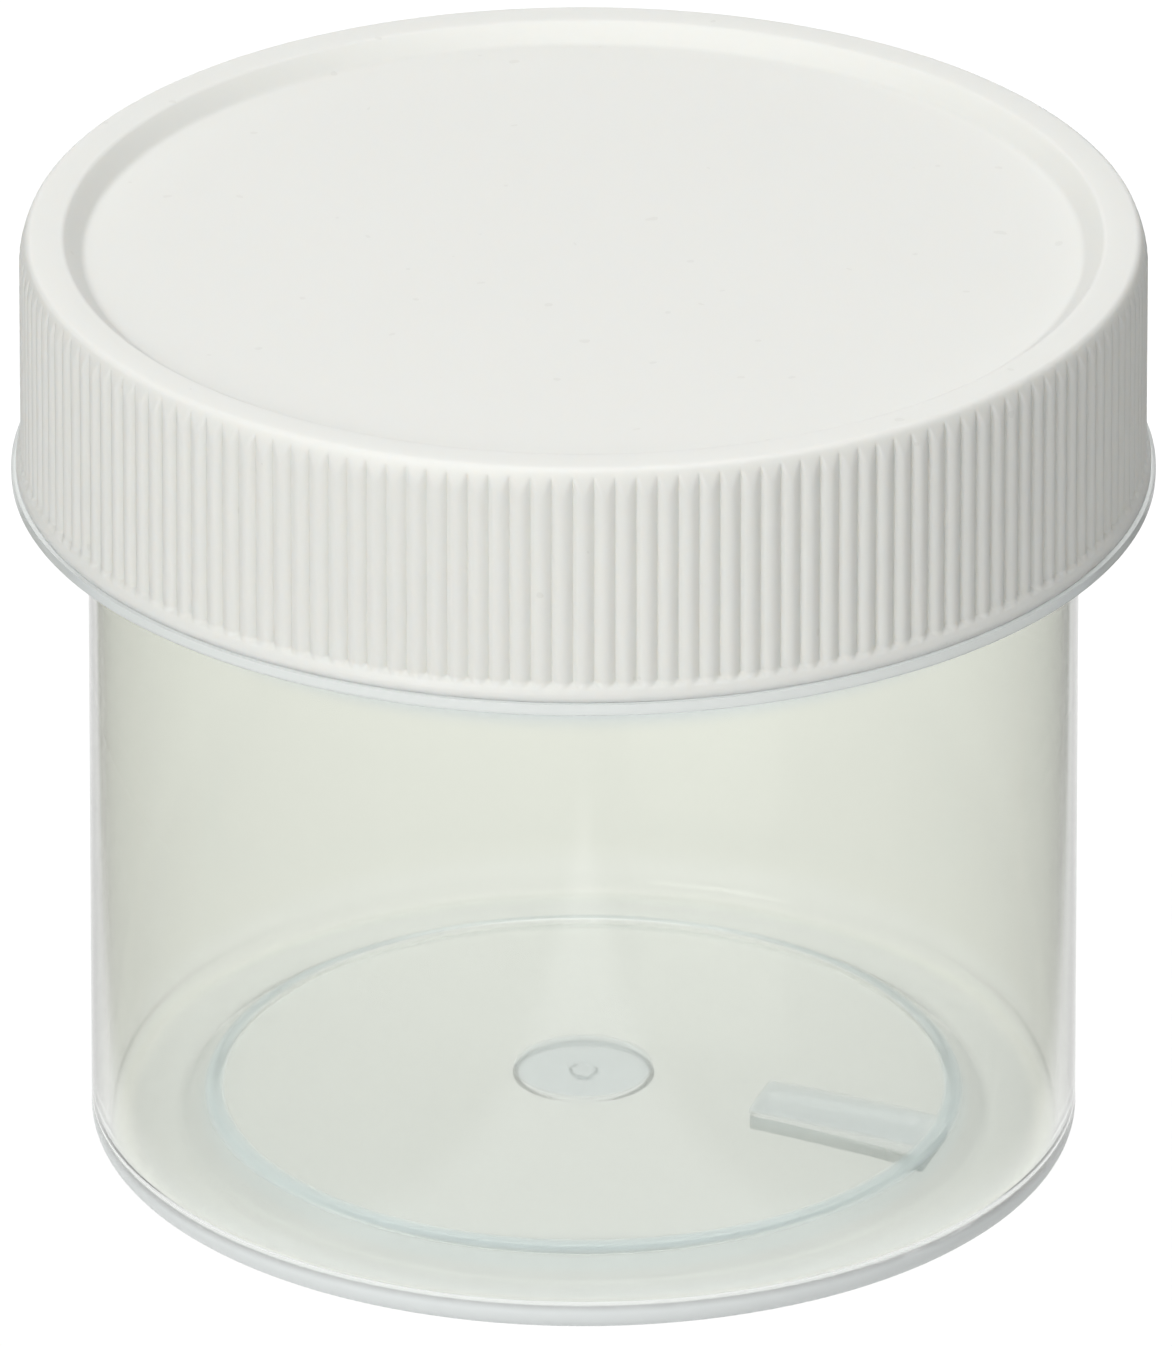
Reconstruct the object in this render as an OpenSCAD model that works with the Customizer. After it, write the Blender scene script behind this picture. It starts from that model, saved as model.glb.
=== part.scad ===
// Slide staining jar: a straight-sided moulded jar with a ribbed screw cap and a sealing liner.
// Millimetres. The origin is the middle of the base, +Z is the jar's axis, and the cap is screwed home.

/* [Jar] */
// Outside diameter of the straight wall
jar_d = 63.8; // [50:0.1:90]
// Height from the base to the sealing edge of the mouth
jar_h = 59.6; // [35:0.1:110]
// Wall thickness under the shoulder
wall_top = 0.75; // [0.6:0.05:1.5]
// Wall thickness at the floor
wall_base = 1.1; // [0.8:0.05:2.5]
// Thickness of the floor
floor_t = 1.4; // [1:0.1:2.5]
// Radius round the outside of the heel
heel_r = 1.5; // [0.5:0.1:2.5]
// Radius in the corner between the wall and the floor
corner_r = 0.9; // [0.3:0.1:1.5]

/* [Base] */
// Width of the flat ring that the jar stands on
foot_w = 4.57; // [2:0.01:8]
// Width of the slope between the foot and the raised middle of the floor
step_w = 2.2; // [1:0.1:3]
// Height by which the middle of the floor is pushed up
panel_lift = 1.25; // [0.6:0.05:2]
// Further rise of the floor from the edge of its raised middle to the axis
panel_crown = 0.95; // [0.3:0.05:1.2]
// Radius of the gate recess under the floor
gate_r = 4.5; // [2:0.1:6]
// Depth of the gate recess
gate_depth = 0.6; // [0.2:0.05:0.8]
// Direction of the pad under the floor, about the axis and in degrees
pad_angle = -19; // [-180:1:180]
// Distance from the axis to the inner end of the pad
pad_start = 12; // [7:0.1:14]
// Width of the pad at its inner end
pad_w_in = 3.8; // [2:0.1:6]
// Width of the pad at its outer end
pad_w_out = 5.2; // [2:0.1:8]
// Height by which the pad stands down from the floor
pad_h = 0.9; // [0.3:0.05:1]

/* [Neck] */
// Width by which the neck stands out of the jar's wall
neck_out = 1.6; // [0.5:0.1:2.4]
// Thickness of the neck between the threads
neck_wall = 1.5; // [1:0.1:2.5]
// Height of the plain neck under the thread
neck_foot = 5.32; // [4:0.01:9]
// Height of the plain neck above the thread
neck_lead = 2.4; // [1.8:0.1:5]
// Width by which the collar stands out of the neck
collar_w = 3.3; // [2:0.1:6]
// Thickness of the collar at its edge
collar_t = 0.8; // [0.5:0.1:2]
// Rise of the collar's underside from the wall to the edge
collar_rise = 0.6; // [0.2:0.1:2]
// Radius under the collar, where it meets the wall
collar_fillet = 0.7; // [0.3:0.1:1.5]

/* [Thread] */
// Rise of the thread in one turn
pitch = 4.233; // [3.5:0.001:6]
// Radial height of the threads
thread_h = 1.2; // [0.8:0.05:1.6]
// Radial gap at the crest of each thread
thread_gap = 0.25; // [0.15:0.05:0.4]
// Gap between the flanks that bear on each other
flank_gap = 0.15; // [0.1:0.01:0.25]
// Turns of the thread on the neck
neck_turns = 1.2; // [1:0.05:1.3]
// Turns of the thread in the cap
cap_turns = 1; // [0.75:0.05:1.1]

/* [Cap] */
// Thickness of the skirt at its ribs
skirt_t = 1.25; // [1:0.05:3]
// Number of ribs
ribs = 168; // [60:2:200]
// Depth of the grooves between the ribs
rib_depth = 0.3; // [0.2:0.05:0.4]
// Width by which the plain flange at the cap's edge stands out of the ribs
flange_w = 0.3; // [0.1:0.05:2]
// Height of the plain flange
flange_h = 0.85; // [0.4:0.05:2]
// Height of the slope on which the grooves run out at the flange
runout_h = 0.5; // [0.3:0.05:1.5]
// Gap between the cap's edge and the collar
cap_gap = 0.1; // [0.05:0.05:1]
// Thickness of the cap's top panel
top_t = 1.3; // [0.8:0.1:2.5]
// Depth of the top panel below the cap's rim
top_sink = 1.2; // [0.4:0.1:2]
// Width of the rim from the ribs to the slope down to the top panel
rim_w = 2.8; // [2:0.1:8]
// Width of the slope between the rim and the top panel
rim_slope_w = 1.3; // [0.5:0.1:3]
// Height of the rounded shoulder that the ribs run up into
shoulder_h = 2.3; // [1.5:0.1:4]
// Radius of the shoulder's side
shoulder_r = 5; // [4:0.1:8]
// Radius at the top of the shoulder
crest_r = 0.5; // [0.3:0.1:1]

/* [Liner] */
// Thickness of the liner
liner_t = 0.8; // [0.5:0.1:2]
// Radial gap between the liner and the cap
liner_gap = 0.3; // [0.1:0.05:0.6]

/* [Hidden] */
$fn = 180;
over = 1;
jar_r = jar_d / 2;
neck_r = jar_r + neck_out;
mouth_r = neck_r - neck_wall;
collar_r = neck_r + collar_w;
bore_r = neck_r + thread_h + thread_gap;
rib_r = bore_r + skirt_t;
flange_r = rib_r + flange_w;
top_r = rib_r - rim_w - rim_slope_w;

neck_h = neck_foot + pitch * neck_turns + neck_lead;
cavity_r = jar_r - wall_base;
cavity_top_r = jar_r - wall_top;
mouth_edge_r = 0.5;
collar_top = jar_h - neck_h;
collar_base = collar_top - collar_t;
wall_top_z = collar_base - collar_rise - collar_fillet;
foot_in_r = jar_r - heel_r - foot_w;
recess_r = foot_in_r - step_w;
panel_r = recess_r + floor_t / 3;
dome_r = (panel_r * panel_r + panel_crown * panel_crown) / (2 * panel_crown);
dome_z = floor_t + panel_lift + panel_crown - dome_r;
recess_top = panel_lift + panel_crown;
dome_h = recess_top - gate_r * gate_r / (2 * dome_r);
gate_stub_r = 0.8;
gate_stub_h = 0.4;

thread_root_w = 2.4;
thread_crest_w = 1.2;
thread_sink = 0.3;
thread_steps = 72;
thread_fade = 25;
neck_thread_z = collar_top + neck_foot;
flank_mean_w = thread_root_w - (thread_root_w - thread_crest_w) / 2
    * (2 * thread_sink + thread_h + thread_gap) / (thread_h + thread_sink);
cap_thread_z = neck_thread_z - flank_mean_w - flank_gap;

bore_lead = 0.4;
flange_edge = 0.2;
cap_base = collar_top + cap_gap;
cap_ceiling = jar_h + liner_t;
cap_panel = cap_ceiling + top_t;
cap_top = cap_panel + top_sink;
groove_r = rib_r - rib_depth;
groove_base = cap_base + flange_h;
shoulder_z = cap_top - shoulder_h;
groove_end_r = groove_r - 0.1;
rim_r = rib_r + 0.05;
rib_land = 0.4;

// Share of a thread's height that stands at angle a, with both ends fading into the wall.
function thread_share(a, span) = min(1, a / thread_fade, (span - a) / thread_fade);

// A thread of trapezoid section that climbs from height z. Its roots are buried in the wall at
// root_r, and its crest lies outside the wall on the neck and inside it in the cap.
module thread(root_r, crest_r, z, turns) {
    side = sign(crest_r - root_r);
    span = 360 * turns;
    count = ceil(thread_steps * turns);
    back_r = root_r - side * thread_sink;
    faded_r = root_r - side * thread_sink / 3;
    points = [for (i = [0:count])
        let (a = span * i / count,
             mid = z + pitch * a / 360,
             tip_r = faded_r + (crest_r - faded_r) * thread_share(a, span))
        for (p = [[back_r, -thread_root_w], [tip_r, -thread_crest_w],
                  [tip_r, thread_crest_w], [back_r, thread_root_w]])
        [p[0] * cos(a), p[0] * sin(a), mid + p[1] / 2]];
    flanks = [for (i = [0:count - 1], k = [0:3])
        let (a = 4 * i + k, b = 4 * i + (k + 1) % 4)
        each [[a, b, b + 4], [a, b + 4, a + 4]]];
    last = 4 * count;
    ends = [[0, 2, 1], [0, 3, 2], [last, last + 1, last + 2], [last, last + 2, last + 3]];
    faces = concat(flanks, ends);
    polyhedron(points, side > 0 ? faces : [for (f = faces) [f[2], f[1], f[0]]]);
}

// The region of the floor's domed middle below a sphere of radius r, inside a slope that rises
// inwards from [foot_r, z]. The dome is flat over the gate.
module floor_dome(r, foot_r, z) {
    intersection() {
        polygon([[0, z - over], [foot_r, z - over], [foot_r, z],
                 [foot_r - step_w * dome_h / panel_lift, z + dome_h], [0, z + dome_h]]);
        translate([0, dome_z]) circle(r, $fn = 4 * $fn);
    }
}

// What a convex edge of radius r takes off a square corner that points to +X and +Y.
module edge_round(r) {
    difference() {
        square(r + over);
        circle(r);
    }
}

// Half section of the jar's outside, with the neck, the collar and the pushed-up base.
module jar_outline() {
    difference() {
        union() {
            square([jar_r, collar_base]);
            difference() {
                translate([0, wall_top_z]) square([jar_r + collar_fillet, collar_fillet]);
                translate([jar_r + collar_fillet, wall_top_z]) circle(collar_fillet);
            }
            polygon([[0, collar_base - collar_rise], [jar_r + collar_fillet, collar_base - collar_rise],
                     [collar_r, collar_base], [collar_r, collar_top], [0, collar_top]]);
            difference() {
                translate([0, collar_top]) square([neck_r, neck_h]);
                translate([neck_r - mouth_edge_r, jar_h - mouth_edge_r]) edge_round(mouth_edge_r);
            }
        }
        translate([jar_r - heel_r, heel_r]) mirror([0, 1]) edge_round(heel_r);
        floor_dome(dome_r - floor_t, foot_in_r, 0);
    }
}

// Half section of the space inside the jar, open at the mouth.
module cavity_outline() {
    difference() {
        polygon([[0, floor_t], [cavity_r, floor_t], [cavity_top_r, wall_top_z],
                 [mouth_r, collar_base], [mouth_r, jar_h + over], [0, jar_h + over]]);
        translate([cavity_r - corner_r, floor_t + corner_r]) mirror([0, 1]) edge_round(corner_r);
        floor_dome(dome_r, panel_r + step_w, floor_t);
    }
}

// The pad under the floor, which follows the floor's dome and runs out into the foot.
module base_pad() {
    intersection() {
        rotate([0, 0, pad_angle])
            linear_extrude(recess_top + floor_t)
                polygon([[pad_start, -pad_w_in / 2], [foot_in_r, -pad_w_out / 2],
                         [foot_in_r, pad_w_out / 2], [pad_start, pad_w_in / 2]]);
        rotate_extrude() intersection() {
            translate([0, dome_z]) difference() {
                circle(dome_r - 0.8 * floor_t, $fn = 4 * $fn);
                circle(dome_r - floor_t - pad_h, $fn = 4 * $fn);
            }
            square([foot_in_r, recess_top + floor_t]);
        }
    }
}

module jar_body() {
    color([0.88, 0.9, 0.86, 0.6])
    union() {
        difference() {
            rotate_extrude() difference() {
                jar_outline();
                cavity_outline();
            }
            cylinder(r = gate_r, h = recess_top + gate_depth);
        }
        translate([0, 0, recess_top + gate_depth - gate_stub_h])
            cylinder(r = gate_stub_r, h = gate_stub_h + over / 4);
        base_pad();
        thread(neck_r, neck_r + thread_h, neck_thread_z, neck_turns);
    }
}

module cap_liner() {
    color([0.95, 0.95, 0.93])
    translate([0, 0, jar_h]) cylinder(r = bore_r - liner_gap, h = liner_t);
}

// Plan of the ribbed skirt, with a flat land on each rib and a sharp valley between ribs.
module rib_plan() {
    step = 360 / ribs;
    land = rib_land * step;
    polygon([for (i = [0:ribs - 1], p = [[groove_r, -step / 2], [rib_r, -land / 2], [rib_r, land / 2]])
        p[0] * [cos(i * step + p[1]), sin(i * step + p[1])]]);
}

// Half section of the space that holds the ribs, whose side turns into the crest along two arcs.
module side_outline() {
    side_x = rim_r - shoulder_r;
    crest_z = cap_top - crest_r;
    reach = shoulder_r - crest_r;
    crest_x = side_x + sqrt(reach * reach - (crest_z - shoulder_z) * (crest_z - shoulder_z));
    tangent_z = shoulder_z + (crest_z - shoulder_z) * shoulder_r / reach;
    translate([0, cap_base - over]) square([rim_r, shoulder_z - cap_base + over]);
    intersection() {
        translate([side_x, shoulder_z]) circle(shoulder_r);
        translate([top_r, shoulder_z]) square([rim_r, tangent_z - shoulder_z]);
    }
    translate([crest_x, crest_z]) circle(crest_r);
    translate([0, shoulder_z]) square([crest_x, shoulder_h]);
}

// Half section of the space above the sunk top panel.
module sink_outline() {
    polygon([[0, cap_panel], [top_r, cap_panel], [top_r + rim_slope_w, cap_top],
             [top_r + rim_slope_w, cap_top + over], [0, cap_top + over]]);
}

// Half section of the plain flange, up to where its slope has closed the grooves.
module flange_outline() {
    polygon([[0, cap_base], [flange_r - flange_edge, cap_base], [flange_r, cap_base + flange_edge],
             [flange_r, groove_base], [groove_end_r, groove_base + runout_h],
             [0, groove_base + runout_h]]);
}

// Half section of the cap's bore, with a lead at its mouth.
module bore_outline() {
    polygon([[0, cap_base - over], [bore_r + bore_lead, cap_base - over],
             [bore_r + bore_lead, cap_base], [bore_r, cap_base + bore_lead],
             [bore_r, cap_ceiling], [0, cap_ceiling]]);
}

module screw_cap() {
    color([0.96, 0.96, 0.94])
    union() {
        difference() {
            union() {
                intersection() {
                    translate([0, 0, cap_base]) linear_extrude(cap_top - cap_base + over) rib_plan();
                    rotate_extrude() side_outline();
                }
                rotate_extrude() flange_outline();
            }
            rotate_extrude() sink_outline();
            rotate_extrude() bore_outline();
        }
        thread(bore_r, bore_r - thread_h, cap_thread_z, cap_turns);
    }
}

jar_body();
cap_liner();
screw_cap();
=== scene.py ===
"""Slide staining jar: the looks of the moulded jar, its ribbed screw cap and its liner.

Every length is in metres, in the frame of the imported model: the jar stands on z = 0 with its
axis on +Z.
"""

import math

import bpy
from bpy.props import FloatProperty, FloatVectorProperty, IntProperty, PointerProperty
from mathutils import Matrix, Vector


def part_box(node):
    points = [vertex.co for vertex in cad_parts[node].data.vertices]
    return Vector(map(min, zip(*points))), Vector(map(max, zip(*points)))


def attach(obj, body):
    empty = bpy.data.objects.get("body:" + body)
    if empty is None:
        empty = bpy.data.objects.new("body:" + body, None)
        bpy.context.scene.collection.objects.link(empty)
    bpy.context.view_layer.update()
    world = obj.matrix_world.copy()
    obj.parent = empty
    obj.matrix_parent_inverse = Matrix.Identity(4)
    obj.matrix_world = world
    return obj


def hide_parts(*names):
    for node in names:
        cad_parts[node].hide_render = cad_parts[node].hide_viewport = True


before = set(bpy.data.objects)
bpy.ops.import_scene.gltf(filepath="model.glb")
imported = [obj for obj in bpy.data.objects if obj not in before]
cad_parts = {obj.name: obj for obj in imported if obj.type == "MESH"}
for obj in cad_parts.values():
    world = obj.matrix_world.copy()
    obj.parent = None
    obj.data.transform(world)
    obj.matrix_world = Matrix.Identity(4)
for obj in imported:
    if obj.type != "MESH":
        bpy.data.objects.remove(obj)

bl_info = {
    "name": "Slide Staining Jar",
    "version": (1, 0, 0),
    "blender": (4, 5, 0),
    "location": "View3D > Sidebar > Staining Jar",
    "description": "Builds a moulded staining jar with a ribbed screw cap and a liner",
    "category": "Add Mesh",
}

MM = 0.001
_, JAR_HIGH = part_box("jar_body")
CAP_LOW, CAP_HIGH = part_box("screw_cap")
LINER_LOW, LINER_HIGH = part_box("cap_liner")

# Edges that bend by more than this are shaded as sharp.
CREASE = math.radians(35)
PAD_CREASE = math.radians(30)

# How finely outlines and skins are drawn. A straight run longer than LONG_RUN gets points at HOLD
# from both ends, so that it is shaded as straight, and a radius under ON_AXIS counts as none.
ARC_STEP = math.radians(12)
CREST_STEP = math.radians(13)
SHOULDER_STEP = math.radians(2.6)
DOME_STEP = 2 * MM
THREAD_STEP = 0.15 * MM
RIB_STEP = 3 * MM
RUNOUT_STEP = 0.055 * MM
EASE_STEP = 0.15 * MM
PAD_STEPS = 24
LONG_RUN = 3 * MM
HOLD = 0.1 * MM
ON_AXIS = 1e-7

# Heights at which the outlines of the jar's wall are joined, outside and inside.
OUTER_JOIN = 20 * MM
INNER_JOIN = 40 * MM

# Plastics: refraction, and how many features of each unevenness there are in a metre. A speck
# shows where its noise is above SPECK_LEVEL, with SPECK_SHARE of SPECK_COLOUR mixed in.
PLASTIC_IOR = 1.49
FOAM_IOR = 1.45
GRAIN = 9000.0
CLOUD = 60.0
SPECKS = 900.0
PEBBLES = 3500.0
FLOW = 45.0
SPECK_LEVEL = 0.86
SPECK_SHARE = 0.12
SPECK_COLOUR = (0.5, 0.48, 0.44)

# Heights over which the milk and the painted shade and light of the jar's thick parts fade.
HEEL_FADE = (2.4 * MM, 4.5 * MM)
FOOT_FADE = (1.4 * MM, 2.6 * MM)
BASE_FADE = (5 * MM, 7 * MM)

# The same beside an edge of the jar, as distances from it outwards or upwards.
RING_START = (-0.9 * MM, -0.3 * MM)
RING_END = (0.2 * MM, 0.8 * MM)
FLOOR_END = (-3.0 * MM, -1.6 * MM)
GATE_END = (-0.4 * MM, 0.4 * MM)
PAD_START = (-0.2 * MM, 0.2 * MM)
PAD_END = (-0.9 * MM, -0.4 * MM)
PAD_SOFT = 0.3 * MM
HEEL_SKIN = 0.6 * MM
# UNDER_SHADE_START is where the painted shade under the collar starts.
UNDER_SHADE_START = (-4.6 * MM, -2.2 * MM)
COLLAR_START = (-2.2 * MM, -1.4 * MM)
COLLAR_END = (0.2 * MM, 0.8 * MM)

# The floor that the jar stands on, a square of twice FLOOR_HALF just under the jar. Over
# SHADE_FADE from the axis it goes from PLAIN_SHARE of plain white to all of it, and the rest
# takes the jar's soft shadow.
FLOOR_HALF = 3.0
FLOOR_DROP = 0.05 * MM
SHADE_FADE = (45 * MM, 80 * MM)
PLAIN_SHARE = 0.88
PLAIN_LEVEL = 1.08

# The white card that the jar mirrors, whose edge is soft over CARD_SOFT on the floor and which is
# whole at a cosine of CARD_FULL in the surround, and where the room changes from left to right.
CARD_SOFT = 8 * MM
CARD_FULL = 0.98
FLOOR_CHANGE = (-20 * MM, 20 * MM)
ROOM_CHANGE = (-0.3, 0.3)

# Round soft lamps: name, azimuth from the front towards the right, elevation, width and power.
LAMPS = (
    ("key", -32, 25, 1.0, 10.2),
    ("front", 25, 30, 1.4, 3.0),
    ("top", 0, 85, 1.6, 15.0),
    ("back", 180, 40, 1.4, 4.6),
)
LAMP_DISTANCE = 1.5
LAMP_TARGET = Vector((0, 0, 0.04))
BOUNCES = 12
MIRRORED_BOUNCES = 5
SCATTERED_BOUNCES = 2

# The camera, placed from the foot of the cap, with its lens and sensor in millimetres.
CAMERA_DISTANCE = 2.19
CAMERA_ASIDE = 0.16 * MM
CAMERA_ELEVATION = math.radians(24.94)
CAMERA_DIP = math.radians(25.298)
CAMERA_LENS = 910.9
CAMERA_SENSOR = 36.0


def length(name, description, default):
    """A size in metres that a user can change."""
    return FloatProperty(name=name, description=description, default=default, min=0.0,
                         subtype="DISTANCE", unit="LENGTH", precision=5)


def colour(name, description, default):
    """A linear colour that a user can change."""
    return FloatVectorProperty(name=name, description=description, default=default, size=3,
                               min=0.0, max=1.0, subtype="COLOR")


def portion(name, description, default):
    """A share from 0 to 1 that a user can change."""
    return FloatProperty(name=name, description=description, default=default, min=0.0, max=1.0,
                         subtype="FACTOR")


def rotation(name, description, degrees):
    """An angle that a user can change."""
    return FloatProperty(name=name, description=description, default=math.radians(degrees),
                         subtype="ANGLE", unit="ROTATION")


class JarSizes(bpy.types.PropertyGroup):
    """Sizes of the moulded jar."""

    wall_radius: length("Wall radius", "Outside radius of the straight wall", 31.9 * MM)
    wall_top: length("Upper wall", "Wall thickness under the collar", 0.75 * MM)
    wall_base: length("Lower wall", "Wall thickness at the floor", 1.1 * MM)
    floor: length("Floor", "Thickness of the floor", 1.4 * MM)
    heel: length("Heel", "Radius round the outside of the base", 1.5 * MM)
    corner: length("Corner", "Radius between the wall and the floor", 0.9 * MM)
    panel_radius: length("Panel radius", "Radius of the raised middle of the floor", 24.1 * MM)
    panel_lift: length("Panel lift", "Height by which the middle is pushed up", 1.25 * MM)
    panel_crown: length("Panel crown", "Further rise of the middle to the axis", 0.95 * MM)
    step: length("Step", "Width of the slope round the raised middle", 2.2 * MM)
    gate_radius: length("Gate radius", "Radius of the recess round the gate mark", 4.5 * MM)
    gate_depth: length("Gate depth", "Depth of the recess round the gate mark", 0.6 * MM)
    pad_start: length("Pad start", "Distance from the axis to the pad under the floor", 12 * MM)
    pad_inner: length("Pad inner width", "Width of the pad at its inner end", 3.8 * MM)
    pad_outer: length("Pad outer width", "Width of the pad at its outer end", 5.2 * MM)
    pad_height: length("Pad height", "Height by which the pad stands down", 0.9 * MM)
    pad_angle: rotation("Pad angle", "Direction of the pad about the axis", -19)
    neck_radius: length("Neck radius", "Outside radius of the neck", 33.5 * MM)
    mouth_radius: length("Mouth radius", "Inside radius of the mouth", 32.0 * MM)
    collar_top: length("Collar top", "Height of the collar's top", 46.89 * MM)
    collar_edge: length("Collar edge", "Thickness of the collar at its edge", 0.8 * MM)
    segments: IntProperty(name="Segments", description="Segments round the jar", default=288,
                          min=48)


class ThreadSizes(bpy.types.PropertyGroup):
    """Sizes of the screw thread that the neck and the cap share."""

    pitch: length("Pitch", "Rise in one turn", 4.233 * MM)
    height: length("Height", "Radial height of the thread", 1.2 * MM)
    root: length("Root", "Width of the thread at the wall", 2.16 * MM)
    crest: length("Crest", "Width of the thread at its crest", 1.2 * MM)
    neck_start: length("Neck start", "Height at which the neck's thread starts", 52.12 * MM)
    cap_start: length("Cap start", "Height at which the cap's thread starts", 50.39 * MM)
    neck_turns: FloatProperty(name="Neck turns", description="Turns of the neck's thread",
                              default=1.2)
    cap_turns: FloatProperty(name="Cap turns", description="Turns of the cap's thread",
                             default=1.0)
    fade: rotation("Fade", "Angle over which a thread's end runs out", 25)


class CapSizes(bpy.types.PropertyGroup):
    """Sizes of the ribbed screw cap."""

    rib_radius: length("Rib radius", "Radius over the ribs", 36.2 * MM)
    rib_depth: length("Rib depth", "Depth of the grooves between the ribs", 0.3 * MM)
    ribs: IntProperty(name="Ribs", description="Number of ribs", default=168, min=12)
    flange: length("Flange", "Height of the plain flange", 0.85 * MM)
    runout: length("Run-out", "Height over which the grooves run out", 0.5 * MM)
    ease_low: length("Ease low", "Part of the slope out to the flange below the grooves' ends",
                     0.4 * MM)
    ease_high: length("Ease high", "Part of the slope out to the flange above the grooves' ends",
                      0.35 * MM)
    shoulder: length("Shoulder", "Height of the shoulder that the ribs run up into", 2.3 * MM)
    shoulder_radius: length("Shoulder radius", "Radius of the shoulder's side", 5 * MM)
    crest_radius: length("Crest radius", "Radius at the top of the shoulder", 0.5 * MM)
    rim_radius: length("Rim radius", "Inner radius of the flat crest", 33.4 * MM)
    panel_radius: length("Panel radius", "Radius of the flat top panel", 32.1 * MM)
    panel_sink: length("Panel sink", "Depth of the panel below the crest", 1.2 * MM)
    bore: length("Bore", "Inside radius of the skirt", 34.95 * MM)
    lead: length("Lead", "Chamfer at the mouth of the bore", 0.4 * MM)
    rib_segments: IntProperty(name="Rib segments", description="Segments across a rib",
                              default=10, min=4)


class Finishes(bpy.types.PropertyGroup):
    """Colours of the plastics, of the painted shade and light on the jar, and of what surrounds
    the jar.
    """

    cap_white: colour("Cap white", "Colour of the cap", (0.90, 0.905, 0.862))
    cap_depth: length("Cap depth", "How far light spreads inside the cap's plastic", 0.6 * MM)
    liner_white: colour("Liner white", "Colour of the liner", (0.86, 0.86, 0.83))
    jar_tint: colour("Jar tint", "Colour of light that has crossed the wall",
                     (0.909, 0.922, 0.872))
    # Painted shadow: a darker tint on light that crosses the jar's floor, standing for the jar's
    # own shadow on the floor under it.
    floor_shadow_tint: colour("Floor tint", "Colour of light that has crossed the floor",
                       (0.745, 0.75, 0.735))
    # Painted shade: darker bluish tints on light that crosses the gate, the pad and the ring in
    # the floor, standing for the darker surroundings that their slopes bend light from.
    mark_shade_tint: colour("Mark tint", "Colour of light that has crossed the gate or the pad",
                      (0.69, 0.71, 0.735))
    ring_shade_tint: colour("Ring tint", "Colour of light that has crossed the ring in the floor",
                      (0.72, 0.78, 0.80))
    # Painted shade: a darker bluish tint on light that crosses the wall just under the collar,
    # standing for the shade that the cap and the collar cast there.
    under_collar_shade: colour("Under tint", "Colour of light that has crossed the wall under the collar",
                       (0.70, 0.755, 0.83))
    # Painted light: a lighter tint on light that crosses the thick heel and collar, standing for
    # light scattered and bent into them.
    heel_and_collar_light: colour("Heel tint", "Colour of light that has crossed the heel or the collar",
                      (0.95, 0.97, 0.955))
    milk: colour("Milk", "Colour scattered back by the heel and the collar", (0.96, 1.0, 0.995))
    blue_milk: colour("Blue milk", "Colour scattered back by the floor", (0.80, 0.93, 1.0))
    # Painted shade: a dark blue-grey as the milk colour of the ring, the gate and the pad, for the
    # same darker look of their slopes.
    ring_milk_shade: colour("Ring milky", "Colour scattered back by the ring, the gate and the pad",
                       (0.60, 0.70, 0.78))
    passed: colour("Passed", "Colour of lamp light that has crossed one face",
                   (0.93, 0.935, 0.92))
    haze: portion("Haze", "Share of light scattered at each face of the jar", 0.12)
    heel_milk: portion("Heel milk", "Share scattered back by the heel", 1.0)
    ring_milk: portion("Ring milk", "Share scattered back by the ring in the floor", 0.6)
    mark_milk: portion("Mark milk", "Share scattered back by the gate and the pad", 0.35)
    floor_milk: portion("Floor milk", "Share scattered back by the floor", 0.12)
    collar_milk: portion("Collar milk", "Share scattered back by the collar", 0.7)
    clarity: portion("Clear roughness", "Roughness of the clear plastic", 0.02)
    floor_white: colour("Floor white", "Colour of the floor", (0.8, 0.8, 0.8))
    room_left: colour("Room left", "Colour of the room mirrored by the jar's left side",
                      (0.26, 0.26, 0.21))
    room_right: colour("Room right", "Colour of the room mirrored by the jar's right side",
                       (0.09, 0.09, 0.07))
    kept: portion("Kept", "Share of white kept by light turned back inside the plastic", 0.75)
    card_slope: FloatProperty(name="Card slope", default=0.35, min=0.0, max=2.0,
                              description="How fast the white card widens behind the jar")
    card_edge: FloatProperty(name="Card edge", default=0.85, min=-1.0, max=1.0,
                             description="Cosine of the angle at which the white card ends")
    paper: length("Card half-width", "Half-width of the white card beside the jar", 35 * MM)
    lamp_level: FloatProperty(name="Lamp level", description="Share of the lamps' written power",
                              default=1.0, min=0.0)


# Shader fields


class Field:
    """A shader value that varies over a surface; Python operators on it add Math nodes."""

    def __init__(self, tree, socket):
        self.tree = tree
        self.socket = socket

    def math(self, operation, *values):
        return self.tree.add("ShaderNodeMath", {"operation": operation}, dict(enumerate(values)))

    def __add__(self, other):
        return self.math("ADD", self, other)

    def __radd__(self, other):
        return self.math("ADD", other, self)

    def __sub__(self, other):
        return self.math("SUBTRACT", self, other)

    def __rsub__(self, other):
        return self.math("SUBTRACT", other, self)

    def __mul__(self, other):
        return self.math("MULTIPLY", self, other)

    def __rmul__(self, other):
        return self.math("MULTIPLY", other, self)

    def minimum(self, other):
        return self.math("MINIMUM", self, other)

    def maximum(self, other):
        return self.math("MAXIMUM", self, other)

    def root(self):
        return self.math("SQRT", self)

    def above(self, level):
        return self.math("GREATER_THAN", self, level)

    def rising(self, fade, edge=0.0):
        """A smooth step from 0 to 1 over a fade, a pair of distances from an edge."""
        return self.tree.add("ShaderNodeMapRange", {"interpolation_type": "SMOOTHSTEP"}, {
            "Value": self, "From Min": edge + fade[0], "From Max": edge + fade[1]})

    def falling(self, fade, edge=0.0):
        """A smooth step from 1 to 0 over a fade, a pair of distances from an edge."""
        return 1.0 - self.rising(fade, edge)


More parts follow.
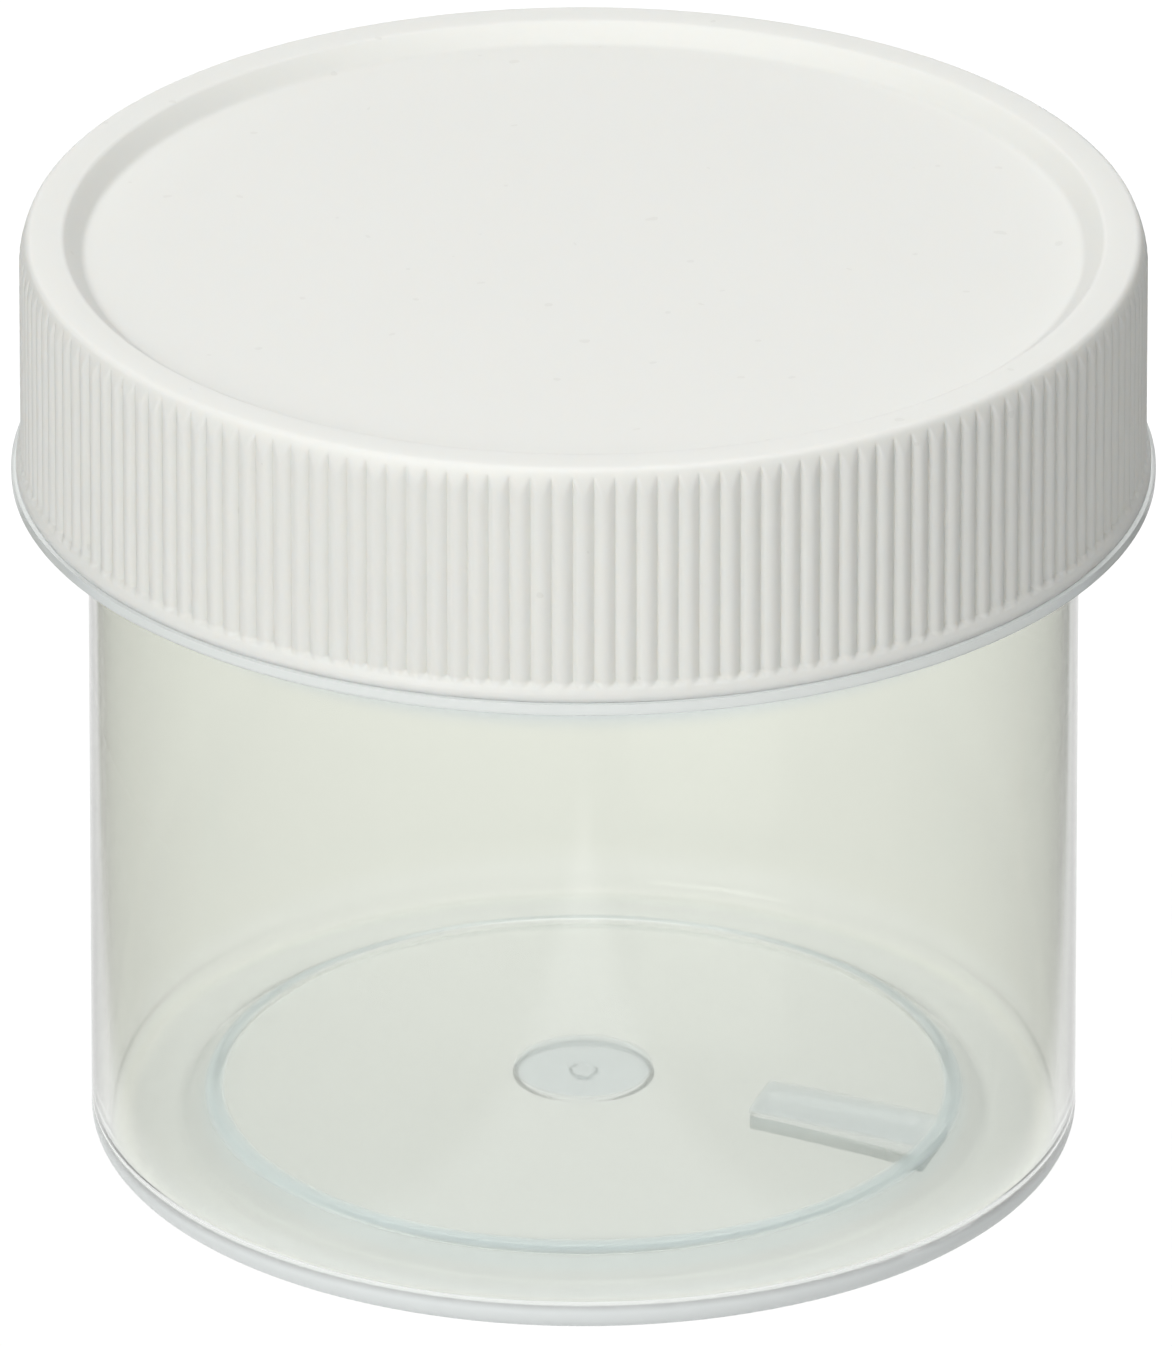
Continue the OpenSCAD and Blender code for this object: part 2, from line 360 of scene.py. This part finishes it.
class Tree:
    """The node tree of a material or a world, which starts empty."""

    def __init__(self, owner):
        owner.use_nodes = True
        self.nodes = owner.node_tree.nodes
        self.links = owner.node_tree.links
        self.nodes.clear()

    def add(self, kind, settings=None, inputs=None, output=0):
        """Adds a node with its settings, then fills its sockets with values or links."""
        node = self.nodes.new(kind)
        for name, value in (settings or {}).items():
            setattr(node, name, value)
        for key, value in (inputs or {}).items():
            if isinstance(value, Field):
                self.links.new(value.socket, node.inputs[key])
            else:
                node.inputs[key].default_value = value
        return Field(self, node.outputs[output] if len(node.outputs) else None)

    def place(self):
        """Position on the piece, in metres."""
        return self.add("ShaderNodeTexCoord", output="Object")

    def noise(self, per_metre, detail):
        """Noise from 0 to 1 with about per_metre features in a metre."""
        return self.add("ShaderNodeTexNoise", None, {
            "Vector": self.place(), "Scale": per_metre, "Detail": detail})

    def blend(self, share, under, over):
        """A colour between two, of which the first may vary over the surface."""
        if not isinstance(under, Field):
            under = (*under, 1.0)
        return self.add("ShaderNodeMix", {"data_type": "RGBA"}, {
            "Factor": share, 6: under, 7: (*over, 1.0)}, output=2)

    def uneven(self, field, colour, least):
        """A colour that a field makes uneven, down to its least share."""
        return self.blend(field, [channel * least for channel in colour], colour)

    def bump(self, height, distance, strength):
        """A normal from a height field; distance is the height's real size in metres."""
        return self.add("ShaderNodeBump", None, {
            "Strength": strength, "Distance": distance, "Height": height})

    def principled(self, **inputs):
        """A Principled surface."""
        names = {key.replace("_", " "): value for key, value in inputs.items()}
        return self.add("ShaderNodeBsdfPrincipled", None, names)

    def mixed(self, share, first, second):
        """The first shader at a share of 0 and the second at 1."""
        return self.add("ShaderNodeMixShader", None, {0: share, 1: first, 2: second})

    def surface(self, shader):
        self.add("ShaderNodeOutputMaterial", None, {"Surface": shader})

    def split(self, vector):
        """The X, Y and Z of a vector."""
        node = self.add("ShaderNodeSeparateXYZ", None, {"Vector": vector}).socket.node
        return [Field(self, node.outputs[i]) for i in range(3)]

    def path(self, output):
        """What is known of the ray: its kind, or how often it was mirrored or let through."""
        return self.add("ShaderNodeLightPath", output=output)

    def seen(self):
        """1 for a ray that shows a surface, straight or by way of a clear or a glossy one."""
        straight = self.path("Is Camera Ray").maximum(self.path("Is Glossy Ray"))
        return straight.maximum(self.path("Is Transmission Ray"))


def white_cap_plastic(look):
    """Opaque white moulded plastic with a fine satin grain and a few dark specks."""
    material = bpy.data.materials.new("white_cap_plastic")
    tree = Tree(material)
    grain = tree.noise(GRAIN, detail=1.0)
    cloud = tree.noise(CLOUD, detail=1.0)
    speck = tree.noise(SPECKS, detail=0.0).above(SPECK_LEVEL)
    base = tree.uneven(cloud, look.cap_white, least=0.985)
    tree.surface(tree.principled(
        Base_Color=tree.blend(speck * SPECK_SHARE, base, SPECK_COLOUR),
        Roughness=0.38 + 0.14 * cloud,
        IOR=PLASTIC_IOR,
        Subsurface_Weight=1.0,
        Subsurface_Radius=(1.0, 0.95, 0.9),
        Subsurface_Scale=look.cap_depth,
        Normal=tree.bump(grain, distance=0.006 * MM, strength=0.6),
    ))
    return material


def thick_parts(tree, jar):
    """Masks of the jar's thick parts by name: the heel and its foot, the floor, the ring round its
    raised middle, the gate and the pad as marks, the wall under the collar, and the collar. They
    carry the jar's painted shade and painted light as well as its milk."""
    x, y, z = tree.split(tree.place())
    r = (x * x + y * y).root()
    base = z.falling(BASE_FADE)
    band = r.rising(RING_START, jar.panel_radius) * r.falling(RING_END, jar.panel_radius)
    outer = r.rising((-jar.wall_base, -HEEL_SKIN), jar.wall_radius)
    cos, sin = math.cos(jar.pad_angle), math.sin(jar.pad_angle)
    along = x * cos + y * sin
    aside = y * cos - x * sin
    side = (aside * aside).root()
    pad = along.rising(PAD_START, jar.pad_start)
    pad = pad * side.falling((jar.pad_inner / 2, jar.pad_outer / 2 + PAD_SOFT))
    pad = pad * r.falling(PAD_END, jar.panel_radius)
    below_neck = z.falling(COLLAR_END, jar.collar_top)
    return {
        "heel": z.falling(HEEL_FADE) * outer,
        "foot": z.falling(FOOT_FADE) * outer,
        "floor": base * r.falling(FLOOR_END, jar.wall_radius),
        "ring": base * band,
        "mark": base * r.falling(GATE_END, jar.gate_radius).maximum(pad),
        "under": z.rising(UNDER_SHADE_START, jar.collar_top) * below_neck,
        "collar": z.rising(COLLAR_START, jar.collar_top) * below_neck,
    }


def clear_jar_plastic(look, jar):
    """Natural moulded plastic: it passes light with a faint haze and a green-grey cast, and its
    thick parts look milky. The tints on its thick parts are painted shade on the floor, the ring,
    the gate, the pad and the wall under the collar, and painted light on the heel and the collar."""
    material = bpy.data.materials.new("clear_jar_plastic")
    tree = Tree(material)
    flow = tree.noise(FLOW, detail=0.0)
    wave = tree.bump(flow, distance=0.02 * MM, strength=0.3)
    thick = thick_parts(tree, jar)
    # Painted shade on the floor, the ring, the gate, the pad and the wall under the collar, and
    # painted light on the heel and the collar, as tints of the light that crosses them.
    painted_tints = {"floor": look.floor_shadow_tint, "mark": look.mark_shade_tint, "ring": look.ring_shade_tint,
             "heel": look.heel_and_collar_light, "under": look.under_collar_shade, "collar": look.heel_and_collar_light}
    tint = tree.uneven(flow, look.jar_tint, least=0.99)
    for part, painted_colour in painted_tints.items():
        tint = tree.blend(thick[part], tint, painted_colour)
    passing = {"Base_Color": tint, "IOR": PLASTIC_IOR, "Transmission_Weight": 1.0, "Normal": wave}
    clear = tree.principled(Roughness=look.clarity + 0.02 * flow, **passing)
    haze = tree.principled(Roughness=0.5, **passing)

    # The ring, the gate and the pad take the painted-shade blue-grey as their milk colour.
    white = tree.blend(thick["floor"], tree.uneven(flow, look.milk, least=0.97), look.blue_milk)
    milky = tree.principled(
        Base_Color=tree.blend(thick["ring"].maximum(thick["mark"]), white, look.ring_milk_shade),
        Roughness=0.35 + 0.1 * flow,
        IOR=PLASTIC_IOR,
        Normal=wave,
    )
    milk = thick["foot"] * look.heel_milk
    for part, level in (("floor", look.floor_milk), ("ring", look.ring_milk),
                        ("mark", look.mark_milk), ("collar", look.collar_milk)):
        milk = milk.maximum(thick[part] * level)
    outside = 1.0 - tree.add("ShaderNodeNewGeometry", output="Backfacing")
    plastic = tree.mixed(milk * outside, tree.mixed(look.haze, clear, haze), milky)
    lamp_light = tree.add("ShaderNodeBsdfTransparent", None, {"Color": (*look.passed, 1.0)})
    tree.surface(tree.mixed(tree.path("Is Shadow Ray"), plastic, lamp_light))
    return material


def liner_foam(look):
    """Dense white foam sheet with a fine pebbled skin."""
    material = bpy.data.materials.new("liner_foam")
    tree = Tree(material)
    pebble = tree.noise(PEBBLES, detail=2.0)
    tree.surface(tree.principled(
        Base_Color=tree.uneven(pebble, look.liner_white, least=0.97),
        Roughness=0.6 + 0.1 * pebble,
        IOR=FOAM_IOR,
        Normal=tree.bump(pebble, distance=0.03 * MM, strength=0.5),
    ))
    return material


# Outlines and skins


def rounded(corners):
    """Outline points from (radius, height, fillet) corners, with an arc at each filleted one."""
    points = []
    for i, (r, z, fillet) in enumerate(corners):
        here = Vector((r, z))
        if fillet == 0 or i in (0, len(corners) - 1):
            points.append(here)
            continue
        back = Vector(corners[i - 1][:2]) - here
        ahead = Vector(corners[i + 1][:2]) - here
        opening = back.angle(ahead)
        turn = math.pi - opening
        reach = fillet * math.tan(turn / 2)
        start = here + back.normalized() * reach
        inward = (back.normalized() + ahead.normalized()).normalized()
        middle = here + inward * fillet / math.sin(opening / 2)
        swing = start - middle
        side = 1 if back.x * ahead.y - back.y * ahead.x < 0 else -1
        steps = max(2, math.ceil(turn / ARC_STEP))
        for k in range(steps + 1):
            angle = side * turn * k / steps
            cos, sin = math.cos(angle), math.sin(angle)
            points.append(middle + Vector((swing.x * cos - swing.y * sin,
                                           swing.x * sin + swing.y * cos)))
    return held(points)


def held(points):
    """Adds points close to both ends of each long straight run."""
    kept = points[:1]
    for start, end in zip(points, points[1:]):
        way = end - start
        if way.length > LONG_RUN:
            kept += [start + way.normalized() * HOLD, end - way.normalized() * HOLD]
        kept.append(end)
    return kept


def ring(point, segments, bulge=None):
    """Points of one circle about the axis, or the one point on it; bulge(angle, height) is added
    to the radius."""
    r, z = point
    if r < ON_AXIS:
        return [Vector((0, 0, z))]
    circle = []
    for i in range(segments):
        angle = 2 * math.pi * i / segments
        radius = r + (bulge(angle, z) if bulge else 0)
        circle.append(Vector((radius * math.cos(angle), radius * math.sin(angle), z)))
    return circle


def between(low, high, first, last):
    """The faces between two circles that start at vertices first and last. The finer circle has a
    whole number of points to each point of the coarser one."""
    if len(low) == len(high):
        n = len(low)
        return [(first + i, first + (i + 1) % n, last + (i + 1) % n, last + i) for i in range(n)]
    if len(low) > len(high):
        return [face[::-1] for face in between(high, low, last, first)]
    share = len(high) // len(low)
    faces = []
    for i in range(len(low)):
        here = first + i
        ahead = first + (i + 1) % len(low)
        half = (share + 1) // 2
        for k in range(share):
            a = last + i * share + k
            b = last + (i * share + k + 1) % len(high)
            faces.append(((here if k < half else ahead), b, a))
        if len(low) > 1:
            faces.append((here, ahead, last + i * share + half))
    return faces


def skin(name, rings):
    """A closed mesh through circles that run from axis to axis."""
    vertices = []
    starts = []
    for circle in rings:
        starts.append(len(vertices))
        vertices.extend(circle)
    faces = []
    for i in range(len(rings) - 1):
        faces.extend(between(rings[i], rings[i + 1], starts[i], starts[i + 1]))
    mesh = bpy.data.meshes.new(name)
    mesh.from_pydata(vertices, [], faces)
    mesh.validate()
    return finished(name, mesh, CREASE)


def finished(name, mesh, crease):
    """An object of a smooth-shaded mesh with sharp edges kept at creases."""
    mesh.shade_smooth()
    mesh.set_sharp_from_angle(angle=crease)
    piece = bpy.data.objects.new(name, mesh)
    bpy.context.scene.collection.objects.link(piece)
    return piece


def levels(low, high, step):
    """Heights from low to high, about one step apart."""
    count = max(1, round(abs(high - low) / step))
    return [low + (high - low) * k / count for k in range(count + 1)]


def thread_rise(thread, start, turns, angle, z):
    """How far a thread stands out of its wall at an angle and a height."""
    span = 2 * math.pi * turns
    best = 0.0
    for turn in range(math.ceil(turns) + 1):
        run = angle + 2 * math.pi * turn
        if run > span:
            break
        centre = start + thread.pitch * run / (2 * math.pi)
        share = min(1.0, run / thread.fade, (span - run) / thread.fade)
        flank = (thread.root - thread.crest) / 2
        rise = (thread.root / 2 - abs(z - centre)) / flank
        best = max(best, thread.height * share * min(1.0, max(0.0, rise)))
    return best


# Pieces


def dome(jar, r, drop=0.0):
    """Height of the floor's domed middle at radius r; drop lowers it to the underside."""
    ball = (jar.panel_radius ** 2 + jar.panel_crown ** 2) / (2 * jar.panel_crown)
    top = jar.floor + jar.panel_lift + jar.panel_crown
    return top - ball + math.sqrt((ball - drop) ** 2 - r ** 2)


def dome_points(jar, start, end, drop=0.0):
    """Corners along the floor's domed middle, from one radius to another."""
    return [(r, dome(jar, r, drop), 0) for r in levels(start, end, DOME_STEP)]


def jar_rings(jar, thread):
    """Circles of the jar, from the middle of its underside round to the middle of its floor."""
    n = jar.segments
    height, collar = JAR_HIGH.z, JAR_HIGH.x
    wall, neck, mouth, thick = jar.wall_radius, jar.neck_radius, jar.mouth_radius, jar.floor
    collar_low = jar.collar_top - jar.collar_edge
    gate, panel = jar.gate_radius, jar.panel_radius
    gate_top = dome(jar, 0, thick) + jar.gate_depth
    pin = 0.8 * MM
    pin_end = gate_top - 0.4 * MM
    recess = panel - thick / 3
    clear = 1.5 * MM
    inner_wall = wall - jar.wall_top

    underside = [(0, pin_end, 0), (pin, pin_end, 0.2 * MM),
                 (pin + 0.1 * MM, gate_top, 0.15 * MM), (gate - 0.15 * MM, gate_top, 0.25 * MM),
                 (gate, dome(jar, gate, thick), 0.2 * MM)]
    underside += dome_points(jar, gate + clear, recess - clear, thick)
    underside += [(recess, dome(jar, recess, thick), 0.8 * MM),
                  (recess + jar.step, 0, 1.0 * MM), (wall, 0, jar.heel), (wall, OUTER_JOIN, 0)]
    outside = [(wall, OUTER_JOIN, 0), (wall, collar_low - 0.6 * MM, 0.7 * MM),
               (collar, collar_low, 0.25 * MM), (collar, jar.collar_top, 0.03 * MM),
               (neck, jar.collar_top, 0.3 * MM), (neck, jar.collar_top + clear, 0)]
    lip = [(neck, height - 1.2 * MM, 0), (neck, height, 0.5 * MM), (mouth, height, 0.4 * MM),
           (mouth, height - 3 * MM, 0), (mouth, collar_low, 1.2 * MM),
           (inner_wall, collar_low - 1.3 * MM, 1.5 * MM), (inner_wall, INNER_JOIN, 0)]
    inside = [(inner_wall, INNER_JOIN, 0), (wall - jar.wall_base, thick, jar.corner),
              (panel + jar.step, thick, 1.2 * MM), (panel, dome(jar, panel), 0.9 * MM)]
    inside += dome_points(jar, panel - clear, clear)
    inside.append((0, dome(jar, 0), 0))

    def bulge(angle, z):
        return thread_rise(thread, thread.neck_start, thread.neck_turns, angle, z)

    rings = [ring(point, n) for point in rounded(underside)[:-1]]
    rings += [ring(point, n) for point in rounded(outside)]
    for z in levels(jar.collar_top + 1.7 * MM, height - 1.4 * MM, THREAD_STEP):
        rings.append(ring((neck, z), n, bulge))
    rings += [ring(point, n) for point in rounded(lip)[:-1]]
    rings += [ring(point, n) for point in rounded(inside)]
    return rings


def base_pad(jar):
    """The pad that stands down from the floor, as a block that reaches into the floor."""
    inner, outer = jar.pad_start, jar.panel_radius - 0.5 * MM
    rows = []
    for r in levels(inner, outer, (outer - inner) / PAD_STEPS):
        share = (r - inner) / (jar.panel_radius - inner)
        half = (jar.pad_inner + (jar.pad_outer - jar.pad_inner) * share) / 2
        top = dome(jar, r, jar.floor * 0.7)
        low = dome(jar, r, jar.floor + jar.pad_height)
        rows.append([(r, -half, top), (r, -half, low), (r, half, low), (r, half, top)])
    cos, sin = math.cos(jar.pad_angle), math.sin(jar.pad_angle)
    vertices = [(x * cos - y * sin, x * sin + y * cos, z) for row in rows for x, y, z in row]
    faces = [(0, 1, 2, 3)]
    for i in range(len(rows) - 1):
        for k in range(4):
            a, b = 4 * i + k, 4 * i + (k + 1) % 4
            faces.append((a, a + 4, b + 4, b))
    last = 4 * (len(rows) - 1)
    faces.append((last + 3, last + 2, last + 1, last))
    mesh = bpy.data.meshes.new("base_pad")
    mesh.from_pydata(vertices, [], faces)
    return finished("base_pad", mesh, PAD_CREASE)


def joined(piece, other):
    """The union of two solids, left in the first, whose mesh is replaced."""
    union = piece.modifiers.new("union", "BOOLEAN")
    union.operation = "UNION"
    union.solver = "EXACT"
    union.object = other
    depsgraph = bpy.context.evaluated_depsgraph_get()
    mesh = bpy.data.meshes.new_from_object(piece.evaluated_get(depsgraph))
    piece.modifiers.clear()
    old = piece.data
    mesh.name = old.name
    piece.data = mesh
    bpy.data.meshes.remove(old)
    bpy.data.objects.remove(other)
    mesh.shade_smooth()
    mesh.set_sharp_from_angle(angle=CREASE)
    return piece


def cap_rings(cap, thread):
    """Circles of the cap, from the middle of its top round to the middle of its ceiling."""
    fine = cap.ribs * cap.rib_segments
    coarse = cap.ribs * 2
    base, top = CAP_LOW.z, CAP_HIGH.z
    flange_radius = CAP_HIGH.x
    panel = top - cap.panel_sink
    ceiling = LINER_HIGH.z
    groove_base = base + cap.flange
    spare = 0.05 * MM
    groove_end = cap.rib_radius - cap.rib_depth - spare

    def crest(z):
        share = (groove_base + cap.ease_high - z) / (cap.ease_low + cap.ease_high)
        return cap.rib_radius + (flange_radius - cap.rib_radius) * min(1.0, max(0.0, share))

    def cone(z):
        low = crest(groove_base)
        return low + (groove_end - low) * (z - groove_base) / cap.runout

    def rib(angle):
        across = (cap.ribs * angle / (2 * math.pi) + 0.5) % 1.0 - 0.5
        return cap.rib_radius - cap.rib_depth * (2 * across) ** 2

    def runout(angle, z):
        grooved = rib(angle) - cap.rib_radius + crest(z)
        return min(crest(z), max(grooved, cone(z))) - cap.rib_radius

    def bulge(angle, z):
        return -thread_rise(thread, thread.cap_start, thread.cap_turns, angle, z)

    side_low = top - cap.shoulder
    side_x = cap.rib_radius + spare - cap.shoulder_radius
    crest_z = top - cap.crest_radius
    reach = cap.shoulder_radius - cap.crest_radius
    crest_turn = math.asin((crest_z - side_low) / reach)
    crest_x = side_x + reach * math.cos(crest_turn)

    panel_points = [(0, panel, 0), (12 * MM, panel, 0), (24 * MM, panel, 0),
                    (cap.panel_radius, panel, 0.7 * MM), (cap.rim_radius, top, 0.5 * MM),
                    (crest_x, top, 0)]
    rings = [ring(point, coarse) for point in rounded(panel_points)[:-1]]

    side = [(crest_x + cap.crest_radius * math.cos(turn),
             crest_z + cap.crest_radius * math.sin(turn))
            for turn in levels(math.pi / 2, crest_turn, CREST_STEP)]
    side += [(side_x + cap.shoulder_radius * math.cos(turn),
              side_low + cap.shoulder_radius * math.sin(turn))
             for turn in levels(crest_turn, 0, SHOULDER_STEP)[1:]]
    for r, z in side:
        rings.append(ring((r, z), fine, lambda angle, _, r=r: min(0.0, rib(angle) - r)))
    heights = levels(side_low, groove_base + cap.runout * 1.2, RIB_STEP)[1:]
    heights += levels(groove_base + cap.runout * 1.1, groove_base, RUNOUT_STEP)
    heights += levels(groove_base, groove_base - cap.ease_low, EASE_STEP)[1:]
    rings += [ring((cap.rib_radius, z), fine, runout) for z in heights]

    foot = [(flange_radius, groove_base, 0), (flange_radius, base, 0.04 * MM),
            (cap.bore + cap.lead, base, 0.15 * MM), (cap.bore, base + cap.lead, 0.15 * MM),
            (cap.bore, base + 1.5 * MM, 0)]
    rings += [ring(point, coarse) for point in rounded(foot)[1:-1]]
    for z in levels(base + 1.2 * MM, ceiling - 2.5 * MM, THREAD_STEP):
        rings.append(ring((cap.bore, z), coarse, bulge))
    roof = [(cap.bore, ceiling - 2 * MM, 0), (cap.bore, ceiling, 0.3 * MM),
            (20 * MM, ceiling, 0), (0, ceiling, 0)]
    rings += [ring(point, coarse) for point in rounded(roof)]
    return rings


def liner_rings(jar):
    """Circles of the liner, whose underside keeps a faint mark from the mouth's edge."""
    low, high = LINER_LOW.z, LINER_HIGH.z
    edge = LINER_HIGH.x
    mark = (jar.neck_radius + jar.mouth_radius) / 2
    dent = 0.06 * MM
    bevel = 0.12 * MM
    points = [(0, low, 0), (mark - 1.2 * MM, low, 0), (mark - 0.5 * MM, low + dent, 0.3 * MM),
              (mark + 0.5 * MM, low + dent, 0.3 * MM), (mark + 1.1 * MM, low, 0.2 * MM),
              (edge, low, bevel), (edge, high, bevel), (0, high, 0)]
    return [ring(point, jar.segments) for point in rounded(points)]


def dressed(piece, material, node, body):
    """Gives a piece its material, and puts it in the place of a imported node."""
    piece.data.materials.clear()
    piece.data.materials.append(material)
    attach(piece, body)
    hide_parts(node)


class STAININGJAR_OT_jar(bpy.types.Operator):
    """Build the moulded jar with its neck, collar and pushed-up base"""

    bl_idname = "staining_jar.jar"
    bl_label = "Jar"

    def execute(self, context):
        scene = context.scene
        jar = scene.jar_sizes
        piece = joined(skin("jar_shell", jar_rings(jar, scene.thread_sizes)), base_pad(jar))
        dressed(piece, clear_jar_plastic(scene.jar_finishes, jar), "jar_body", "jar")
        return {"FINISHED"}


class STAININGJAR_OT_liner(bpy.types.Operator):
    """Build the liner that seals the mouth"""

    bl_idname = "staining_jar.liner"
    bl_label = "Liner"

    def execute(self, context):
        scene = context.scene
        piece = skin("liner_disc", liner_rings(scene.jar_sizes))
        dressed(piece, liner_foam(scene.jar_finishes), "cap_liner", "liner")
        return {"FINISHED"}


class STAININGJAR_OT_cap(bpy.types.Operator):
    """Build the ribbed screw cap with its sunk panel and inner thread"""

    bl_idname = "staining_jar.cap"
    bl_label = "Cap"

    def execute(self, context):
        scene = context.scene
        piece = skin("cap_shell", cap_rings(scene.cap_sizes, scene.thread_sizes))
        dressed(piece, white_cap_plastic(scene.jar_finishes), "screw_cap", "cap")
        return {"FINISHED"}


# The stage


def white_card(tree, away, right, look):
    """Colour of the surround: white when seen straight or through the jar, and the room's colour
    where away is 1 in a mirrored ray, less so in one that was turned back inside the plastic. It
    goes from the room's left colour to its right one as right goes from 0 to 1."""
    mirrored = tree.path("Glossy Depth").minimum(1.0)
    inside = tree.path("Transmission Depth").minimum(1.0)
    room = tree.blend(right, look.room_left, look.room_right)
    white = 1.0 - mirrored * away * (1.0 - look.kept * inside)
    return tree.blend(white, room, (1.0, 1.0, 1.0))


def floor_material(look):
    """Pale floor that reads white and keeps a soft shadow."""
    material = bpy.data.materials.new("pale_floor")
    material.cycles.emission_sampling = "NONE"
    tree = Tree(material)
    x, y, _ = tree.split(tree.place())
    far = (x * x + y * y).root().rising(SHADE_FADE)
    edge = (x * x).root() - look.card_slope * y
    away = edge.rising((0.0, CARD_SOFT), look.paper)
    card = white_card(tree, away, x.rising(FLOOR_CHANGE), look)
    shaded = tree.add("ShaderNodeBsdfDiffuse", None, {"Color": (*look.floor_white, 1.0)})
    plain = tree.add("ShaderNodeEmission", None, {"Color": card, "Strength": PLAIN_LEVEL})
    tree.surface(tree.mixed(tree.seen() * (PLAIN_SHARE + (1.0 - PLAIN_SHARE) * far), shaded,
                            plain))
    return material


def studio_world(look):
    """A surround that shows as white and lights nothing, so that the lamps do all the lighting."""
    world = bpy.data.worlds.new("studio")
    bpy.context.scene.world = world
    world.cycles.sampling_method = "NONE"
    tree = Tree(world)
    x, y, _ = tree.split(tree.add("ShaderNodeTexCoord", output="Generated"))
    away = y.falling((look.card_edge, CARD_FULL))
    tree.add("ShaderNodeOutputWorld", None, {
        "Surface": tree.add("ShaderNodeBackground", None, {
            "Color": white_card(tree, away, x.rising(ROOM_CHANGE), look),
            "Strength": tree.seen()})})


def linked(name, data, place):
    """A new object of a mesh, a lamp or a camera at a place in the scene."""
    thing = bpy.data.objects.new(name, data)
    thing.location = place
    bpy.context.scene.collection.objects.link(thing)
    return thing


class STAININGJAR_OT_stage(bpy.types.Operator):
    """Set the floor, the studio light and the camera"""

    bl_idname = "staining_jar.stage"
    bl_label = "Stage"

    def execute(self, context):
        scene = context.scene
        look = scene.jar_finishes
        mesh = bpy.data.meshes.new("floor")
        square = [(x * FLOOR_HALF, y * FLOOR_HALF, 0)
                  for x, y in ((-1, -1), (1, -1), (1, 1), (-1, 1))]
        mesh.from_pydata(square, [], [(0, 1, 2, 3)])
        mesh.materials.append(floor_material(look))
        linked("floor", mesh, (0, 0, -FLOOR_DROP))
        studio_world(look)

        for name, azimuth, height, width, power in LAMPS:
            lamp = bpy.data.lights.new(name, "AREA")
            lamp.shape = "DISK"
            lamp.size = width
            lamp.energy = power * look.lamp_level
            turn, rise = math.radians(azimuth), math.radians(height)
            away = Vector((math.sin(turn) * math.cos(rise), -math.cos(turn) * math.cos(rise),
                           math.sin(rise)))
            thing = linked(name, lamp, LAMP_TARGET + away * LAMP_DISTANCE)
            thing.rotation_euler = (-away).to_track_quat("-Z", "Y").to_euler()

        lens = bpy.data.cameras.new("camera")
        lens.sensor_width = CAMERA_SENSOR
        lens.lens = CAMERA_LENS
        camera = linked("camera", lens, (
            CAMERA_ASIDE, -CAMERA_DISTANCE * math.cos(CAMERA_ELEVATION),
            CAP_LOW.z + CAMERA_DISTANCE * math.sin(CAMERA_ELEVATION)))
        camera.rotation_euler = (math.pi / 2 - CAMERA_DIP, 0, 0)
        scene.camera = camera
        scene.view_settings.view_transform = "Standard"
        scene.cycles.use_light_tree = False
        scene.cycles.max_bounces = BOUNCES
        scene.cycles.diffuse_bounces = SCATTERED_BOUNCES
        scene.cycles.glossy_bounces = MIRRORED_BOUNCES
        scene.cycles.transmission_bounces = BOUNCES
        return {"FINISHED"}


class STAININGJAR_PT_panel(bpy.types.Panel):
    """The steps that build the jar"""

    bl_idname = "STAININGJAR_PT_panel"
    bl_label = "Slide Staining Jar"
    bl_space_type = "VIEW_3D"
    bl_region_type = "UI"
    bl_category = "Staining Jar"

    def draw(self, context):
        for operator in OPERATORS:
            self.layout.operator(operator.bl_idname)
        for name in SETTINGS:
            group = getattr(context.scene, name)
            box = self.layout.box()
            for key in group.bl_rna.properties.keys():
                if key not in ("rna_type", "name"):
                    box.prop(group, key)


SETTINGS = {"jar_sizes": JarSizes, "thread_sizes": ThreadSizes, "cap_sizes": CapSizes,
            "jar_finishes": Finishes}
OPERATORS = (STAININGJAR_OT_stage, STAININGJAR_OT_jar, STAININGJAR_OT_liner, STAININGJAR_OT_cap)


def register():
    """Adds the settings to the scene, and the operators and the panel to Blender."""
    for name, group in SETTINGS.items():
        bpy.utils.register_class(group)
        setattr(bpy.types.Scene, name, PointerProperty(type=group))
    for operator in OPERATORS:
        bpy.utils.register_class(operator)
    bpy.utils.register_class(STAININGJAR_PT_panel)


def unregister():
    """Takes away what register added, in the opposite order."""
    bpy.utils.unregister_class(STAININGJAR_PT_panel)
    for operator in reversed(OPERATORS):
        bpy.utils.unregister_class(operator)
    for name, group in SETTINGS.items():
        delattr(bpy.types.Scene, name)
        bpy.utils.unregister_class(group)


def main():
    """Builds every piece."""
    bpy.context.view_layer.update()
    register()
    bpy.ops.staining_jar.stage()
    bpy.ops.staining_jar.jar()
    bpy.ops.staining_jar.liner()
    bpy.ops.staining_jar.cap()


if __name__ == "__main__":
    main()
